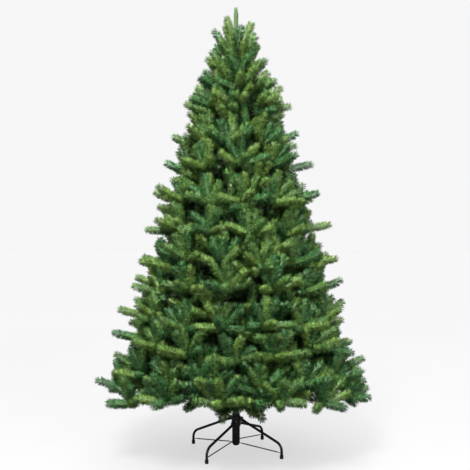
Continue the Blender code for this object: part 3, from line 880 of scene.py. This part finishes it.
def grow_twig(where, twig, fan, kind):
    """A twig with the fan at its end, and a smaller one behind it where there is room."""
    length = tip_length(twig["reach"])
    whorl = twig["tip"] - length * outward(twig["turn"], twig["pitch"])
    add_fan(where, whorl, twig["turn"], twig["pitch"], length, fan, kind)
    room = np.linalg.norm(twig["fork"] - whorl)
    if room > BACK_STEP:
        back = whorl + BACK_STEP / room * (twig["fork"] - whorl)
        # The fan behind is partly painted shade: many of its tips take the dark film.
        add_fan(where, back, twig["turn"], twig["pitch"], length, BACK_FAN, "inner", BACK_SHADED)
    wires[where].append((twig["fork"], whorl))
    return whorl


print("seeded draw and fans ready")

# %% [markdown]
# Each twig of the frame parts once more here: a finer twig leaves it to one side and falls
# short of it, below a tier's lower twigs and above its upper ones. One more fills the gap above
# each mass. So the crown's outline has the frame's reach, and the room between its tiers closes
# as on the real tree. The lowest twigs only part upwards, because nothing hangs below them, and
# the ones at the front are bent up to show the stand. A few tips were missed there and still
# hang before the pole.

# %% Twigs that part
SIDE_TURN = 0.50
SIDE_REACH = 0.85
SIDE_REACH_SPREAD = 0.05
SIDE_RISE = 0.055
SIDE_FORK = 0.30
SIDE_PITCH = 0.1
LOWEST_LIFT = 0.010
FRONT_LIFT = 0.042
HEIGHT_SPREAD = 0.012
GAP_RISE = 0.066
GAP_PITCH = 0.2
DROOPING = (
    (-0.254, 0.246), (-0.228, 0.242), (-0.100, 0.236), (-0.085, 0.219), (-0.070, 0.199),
    (-0.055, 0.211), (-0.039, 0.221), (-0.017, 0.249), (-0.006, 0.244), (0.006, 0.240),
    (0.017, 0.250), (0.043, 0.230), (0.062, 0.223), (0.081, 0.213), (0.097, 0.201),
    (0.113, 0.195), (0.133, 0.242),
)
DROOP_OUT = -0.30
DROOP_ROOT = (0.45, -0.20, 0.325)


def grow_finer(where, fork, turn, pitch, reach, height):
    """A finer twig from a point, out to a turn, reach and height."""
    tip = around(turn, reach, height)
    finer = {"fork": fork, "tip": tip, "turn": turn, "pitch": pitch, "reach": reach}
    grow_twig(where, finer, SIDE_FAN, "side")


def part_twig(where, twig, whorl, half_width, number, lowest):
    """The finer twig at one side of a twig, away from the middle of its tier."""
    side = 1 if number % 2 else -1
    rise = SIDE_RISE if lowest or number > 1 else -SIDE_RISE
    turn = twig["turn"] + side * SIDE_TURN * half_width
    reach = twig["reach"] * (SIDE_REACH + draw.uniform(-SIDE_REACH_SPREAD, SIDE_REACH_SPREAD))
    fork = twig["fork"] + SIDE_FORK * (whorl - twig["fork"])
    grow_finer(where, fork, turn, twig["pitch"] + SIDE_PITCH, reach, twig["tip"][2] + rise)


for tier in TIERS:
    name = tier["name"]
    half_width = math.pi / tier["masses"]
    for mass in limbs[name]:
        for number, twig in enumerate(mass["twigs"]):
            lowest = name == "low" and number < 2
            facing_front = max(0.0, -math.sin(twig["turn"]))
            lift = LOWEST_LIFT + FRONT_LIFT * facing_front ** 2 if lowest else 0.0
            twig["tip"] = twig["tip"] + draw.normal(lift, HEIGHT_SPREAD) * UP
            whorl = grow_twig(name, twig, END_FAN if lowest else LONG_FAN, "outer")
            part_twig(name, twig, whorl, half_width, number, lowest)
        middle, height = (mass["holder"] + mass["fork"]) / 2, tier["rings"][1] + GAP_RISE
        grow_finer(name, middle, mass["turn"], GAP_PITCH, SIDE_REACH * reach_at(height), height)
        length = tip_length(mass["reach"])
        mass["end"] = mass["tip"] - length * outward(mass["turn"], 0)
        add_fan(name, mass["end"], mass["turn"], 0, length, STEM_FAN, "outer")
        for share in BOUGH_SHARES:
            root = mass["holder"] + share * (mass["end"] - mass["holder"])
            # Bough fans get painted shade: dark film, more of it nearer the pole.
            add_fan(name, root, mass["turn"], 0, length, BOUGH_FAN, "inner", BOUGH_SHADED - share)
for across, height in DROOPING:
    root = np.array((DROOP_ROOT[0] * across, *DROOP_ROOT[1:]))
    hanging = np.array((across, DROOP_OUT, height)) - root
    length = np.linalg.norm(hanging)
    add_tip("low", root, hanging / length, length, "fresh" if across > 0 else "mid", "outer")
print("tips", {name: len(found) for name, found in tips.items()})

# %% [markdown]
# The crown's top has no boughs. A leader grows on from the pole's end, and rings of tips leave
# it more and more steeply, each ring shorter than the one below, up to the single last tip. The
# rings are the source's, from the one under the top, with one more half-way between each two.

# %% Crown top
RING_KEYS = ("root", "tip", "reach", "count", "first")
RINGS = [dict(zip(RING_KEYS, ring)) for ring in (
    (1.530, 1.560, 0.285, 7, 35),
    (1.595, 1.635, 0.245, 7, 10),
    (1.650, 1.745, 0.195, 6, 35),
    (1.710, 1.845, 0.145, 5, 0),
    (1.790, 1.935, 0.115, 4, 50),
    (1.870, 2.034, 0.088, 3, 5),
)]
CROWN_SPREAD = 1.09
CROWN_FAN = ((42, 0, 0.92), (-42, 0, 0.92))
BETWEEN_FAN = ((0, 36, 0.90),)
BETWEEN_REACH = 0.88
CROWN_TIP_LENGTH = 0.136
CROWN_TIP_SHARE = 0.85
CROWN_LIFT = 20
SINGLE_UNDER = 0.190
SINGLE_GAP = 0.012
SINGLE_LIFT = 35
LEADER_TIP = 1.925
LEADER_OVERHANG = 0.014


def ring_between(lower, upper):
    """A ring of tips half-way between two rings of the source, turned to fill their gaps."""
    ring = {key: (lower[key] + upper[key]) / 2 for key in ("root", "tip", "reach")}
    ring["reach"] *= BETWEEN_REACH
    return ring | {"count": lower["count"], "first": lower["first"] + 180 / lower["count"]}


def grow_crown_ring(ring, fan):
    for number in range(ring["count"]):
        turn = math.radians(ring["first"]) + 2 * math.pi * number / ring["count"]
        end = around(turn, CROWN_SPREAD * ring["reach"], ring["tip"])
        fork = ring["root"] * UP
        distance = np.linalg.norm(end - fork)
        along = (end - fork) / distance
        if distance < SINGLE_UNDER:
            root = fork + SINGLE_GAP * along
            add_tip("top", root, along, distance - SINGLE_GAP, tone_for(SINGLE_LIFT), "outer")
            continue
        pitch = math.asin(along[2])
        length = min(CROWN_TIP_LENGTH, CROWN_TIP_SHARE * distance)
        whorl = end - length * along
        add_tip("top", whorl, along, length, tone_for(CROWN_LIFT), "outer")
        add_fan("top", whorl, turn, pitch, length, fan, "outer")
        # The fans inside the crown's top are all painted shade, in the dark film.
        add_fan("top", (fork + whorl) / 2, turn, pitch, length, BACK_FAN[:4], "inner", 1.0)
        wires["top"].append((fork, whorl))


for lower, upper in zip(RINGS, RINGS[1:]):
    grow_crown_ring(upper, CROWN_FAN)
    grow_crown_ring(ring_between(lower, upper), BETWEEN_FAN)
leader_end = TREE_HEIGHT - LEADER_OVERHANG
tips["top"].append((LEADER_TIP * UP, leader_end * UP, np.zeros(3), "mid", "leader"))
wires["top"].append((pole_tip * UP, LEADER_TIP * UP))
print("crown tips", len(tips["top"]))

# %% [markdown]
# Bough wires. A bough is two steel wires twisted together and wound with brown film, which
# leaves a slow double ridge along it. Each ring of its mesh swells in two places, and the
# swelling turns from ring to ring.

# %% Boughs
BOUGH_RADII = (0.0078, 0.0062, 0.0030)
RELIEF = 0.13
RELIEF_STEP = 0.006
BOUGH_TWIST = 170.0


def wound_wire(points, radii, sides=10, step=RELIEF_STEP):
    """A wound wire through a few points, with a ring at every step."""
    points = np.array(points)
    lengths = walked_along(points)
    at = np.linspace(0, lengths[-1], max(3, int(lengths[-1] / step)))
    path = np.stack([np.interp(at, lengths, points[:, axis]) for axis in range(3)], -1)
    radius = np.interp(at, lengths, radii)
    return swept(path, radius, radius, sides, ridges=2, relief=RELIEF, twist=BOUGH_TWIST)


for tier in TIERS:
    name = tier["name"]
    made = [wound_wire([mass["holder"], mass["fork"], mass["end"]], BOUGH_RADII)
            for mass in limbs[name]]
    nodes = [f"bough_{name}_{n + 1}" for n in range(tier["masses"])] if tier["bough"] else []
    piece(f"boughs_{name}", *joined(made), bough_wrap, "bough_brown", *nodes, crease=60)
print("boughs", sum(tier["masses"] for tier in TIERS))

# %% [markdown]
# Twigs and tip wires. Twigs are thinner wound wires from a bough to each fan. Every tip that
# can be seen has a wire of its own, too thin to need relief, and a few sides are enough for it.

# %% Twigs
TWIG_RADII = (0.0040, 0.0026)
TWIG_SIDES = 6
TWIG_STEP = 0.012
TIP_WIRE_RADII = (0.0025, 0.0020, 0.0008)
TIP_WIRE_SIDES = 4


def tip_wire(root, end, bow):
    """The wire of a tip through three points, which bows more and more towards its end."""
    shares = np.array((0, 0.5, 1))[:, None]
    path = root + shares * (end - root) + shares ** 2 * bow
    return swept(path, TIP_WIRE_RADII, TIP_WIRE_RADII, TIP_WIRE_SIDES)


for name in tips:
    twig_parts = [wound_wire(ends, TWIG_RADII, TWIG_SIDES, TWIG_STEP) for ends in wires[name]]
    piece(f"twigs_{name}", *joined(twig_parts), twig_wrap, "bough_brown", crease=70)
    tip_parts = [tip_wire(*tip[:3]) for tip in tips[name] if tip[4] != "inner"]
    piece(f"tip_wires_{name}", *joined(tip_parts), tip_wrap, "needle_green", crease=70)
print("twigs", sum(len(found) for found in wires.values()))

# %% [markdown]
# Needles. There are close to a million, so they can't be objects, and the export drops
# instances. On the real tree the needles are a fringe of slit film, caught by its middle
# between two wires as they are twisted, so each slit makes two needles, one to each side. It is
# the same here, and one row of the arrays is a slit. Each needle is one pointed triangle that
# lies mostly in the plane of the film, with the wire. The last needles of a tip spread all
# round its end, so that it closes in a round cap instead of a point. A real tip has several
# times as many needles and shades like a round brush: here every needle takes a normal that
# leans away from the wire, which gives the brush that form back.

# %% Needle arrays
# Needle length and width in metres, and slits for each metre of wire.
NEEDLES = {
    "outer": (0.027, 0.0029, 2300),
    "side": (0.028, 0.0032, 1750),
    "inner": (0.034, 0.0044, 400),
    "leader": (0.014, 0.0026, 2600),
}
TWIG_NEEDLES = (0.024, 0.0044, 260)
LENGTH_SPREAD = (0.86, 1.05)
RAKE = math.radians(62)
RAKE_SPREAD = 0.12
TURN_SPREAD = 0.25
SWING_SPREAD = 0.10
CAP_FROM = 0.90
END_CROWD = 0.85
WIDEST_AT = 0.65
FILM_LIE = math.radians(90)
FILM_LIE_SPREAD = 0.6
NORMAL_SPREAD = 0.33
GOLDEN_ANGLE = math.pi * (3 - math.sqrt(5))


def between(turns, start, side):
    """Directions turned from one towards another that is square to it."""
    return np.cos(turns)[:, None] * start + np.sin(turns)[:, None] * side


def grow_needles(roots, ends, bows, length, width, slits):
    """Needles on these wires: corners (needles, 3, 3), normals (needles, 3) and their wires."""
    counts = (np.linalg.norm(ends - roots, axis=1) * slits).astype(int)
    which = np.repeat(np.arange(len(counts)), counts)
    order = np.arange(len(which)) - np.repeat(np.cumsum(counts) - counts, counts)
    share = ((order + draw.random(len(which))) / counts[which]) ** END_CROWD
    straight, bow = (ends - roots)[which], bows[which]
    place = roots[which] + share[:, None] * straight + (share ** 2)[:, None] * bow
    along = unit(straight + 2 * share[:, None] * bow)
    turn = GOLDEN_ANGLE * order + draw.normal(0, TURN_SPREAD, len(which))
    radial = between(turn, *level_frame(along))
    square = np.cross(along, radial)
    side = between(draw.normal(FILM_LIE, FILM_LIE_SPREAD, len(which)), square, along)
    corners, normals = [], []
    for way in (1, -1):
        rake = draw.normal(RAKE, RAKE_SPREAD, len(which))
        all_round = np.arccos(draw.uniform(math.cos(RAKE), 1, len(which)))
        rake = np.where(share > CAP_FROM, all_round, rake)
        swing = draw.normal(0, SWING_SPREAD, len(which))
        points_to = between(rake, along, way * radial) + swing[:, None] * square
        own = length * draw.uniform(*LENGTH_SPREAD, len(which))[:, None] * points_to
        corners.append(np.stack([place, place + own, place + WIDEST_AT * own + width * side], 1))
        away = points_to - math.cos(RAKE) * along
        normals.append(unit(away + draw.normal(0, NORMAL_SPREAD, away.shape)))
    corners, normals = np.concatenate(corners), np.concatenate(normals)
    facing = np.cross(corners[:, 1] - corners[:, 0], corners[:, 2] - corners[:, 0])
    turned_away = (facing * normals).sum(1) < 0
    corners[turned_away] = corners[turned_away][:, ::-1]
    return corners, normals, np.concatenate([which, which])


def film_piece(name, corners, normals, finish, *stands_for):
    """A piece of needles, each one triangle with one normal."""
    mesh = bpy.data.meshes.new(name)
    total = 3 * len(corners)
    mesh.vertices.add(total)
    mesh.vertices.foreach_set("co", corners.astype(np.float32).ravel())
    mesh.loops.add(total)
    mesh.loops.foreach_set("vertex_index", np.arange(total, dtype=np.int32))
    mesh.polygons.add(len(corners))
    mesh.polygons.foreach_set("loop_start", np.arange(0, total, 3, dtype=np.int32))
    mesh.update(calc_edges=True)
    mesh.normals_split_custom_set_from_vertices(np.repeat(normals, 3, axis=0))
    mesh.materials.append(finish)
    settle(add_object(name, mesh), "needle_green", *stands_for)


print("needle helpers ready")

# %% [markdown]
# Deal the needles. A fresh tip is mostly fresh film with some of the middle green in it, and so
# on, which is how the real films are mixed. An inner tip takes only the dark film, which is
# painted shade. The lowest tier lies in the shade of the others, so every other tip of it is
# painted one tone deeper. The needles of a tier are joined by film, and each piece stands for the
# tier's masses of foliage. Twigs carry shorter, sparser needles that close the view to the pole,
# all in the dark film as painted shade.

# %% Grow the needles
MOST_TRIANGLES = 190_000
FILM_SHARES = {
    # The inner tone is all dark film: painted shade.
    "inner": (1.00, 0.00, 0.00, 0.00),
    "deep": (0.00, 0.94, 0.06, 0.00),
    "mid": (0.00, 0.05, 0.90, 0.05),
    "fresh": (0.00, 0.00, 0.12, 0.88),
}
# One tone deeper on every other low tip: painted shade from the tiers above.
ONE_DEEPER = {"inner": "inner", "deep": "deep", "mid": "deep", "fresh": "mid"}


def film_shares(where, number, tone):
    """Shares of the four films in a tip."""
    return FILM_SHARES[ONE_DEEPER[tone] if where == "low" and number % 2 else tone]


total = 0
for name in tips:
    grown = {film_name: [] for film_name in FILMS}
    for kind, sizes in NEEDLES.items():
        chosen = [tip for tip in tips[name] if tip[4] == kind]
        if not chosen:
            continue
        wire = (np.array([tip[part] for tip in chosen]) for part in range(3))
        corners, normals, wire_of = grow_needles(*wire, *sizes)
        shares = np.array([film_shares(name, number, tip[3]) for number, tip in enumerate(chosen)])
        cuts = np.cumsum(shares, axis=1)[wire_of]
        film_number = (draw.random(len(corners))[:, None] > cuts[:, :3]).sum(1)
        for number, film_name in enumerate(FILMS):
            own = film_number == number
            grown[film_name].append((corners[own], normals[own]))
    roots, ends = (np.array([wire[part] for wire in wires[name]]) for part in range(2))
    on_twigs = grow_needles(roots, ends, np.zeros_like(roots), *TWIG_NEEDLES)
    # All twig needles take the dark film: painted shade near the pole.
    grown["shade"].append(on_twigs[:2])
    nodes = [node_name for node_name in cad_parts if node_name.startswith(f"foliage_{name}")]
    for film_name, found in grown.items():
        corners, normals = (np.concatenate(arrays) for arrays in zip(*found))
        parts = math.ceil(len(corners) / MOST_TRIANGLES)
        for part, own in enumerate(np.array_split(np.arange(len(corners)), parts)):
            label = f"needles_{film_name}_{name}_{part + 1}"
            film_piece(label, corners[own], normals[own], needle_films[film_name], *nodes)
        total += len(corners)
        print(name, film_name, len(corners))
print("needle triangles", total)
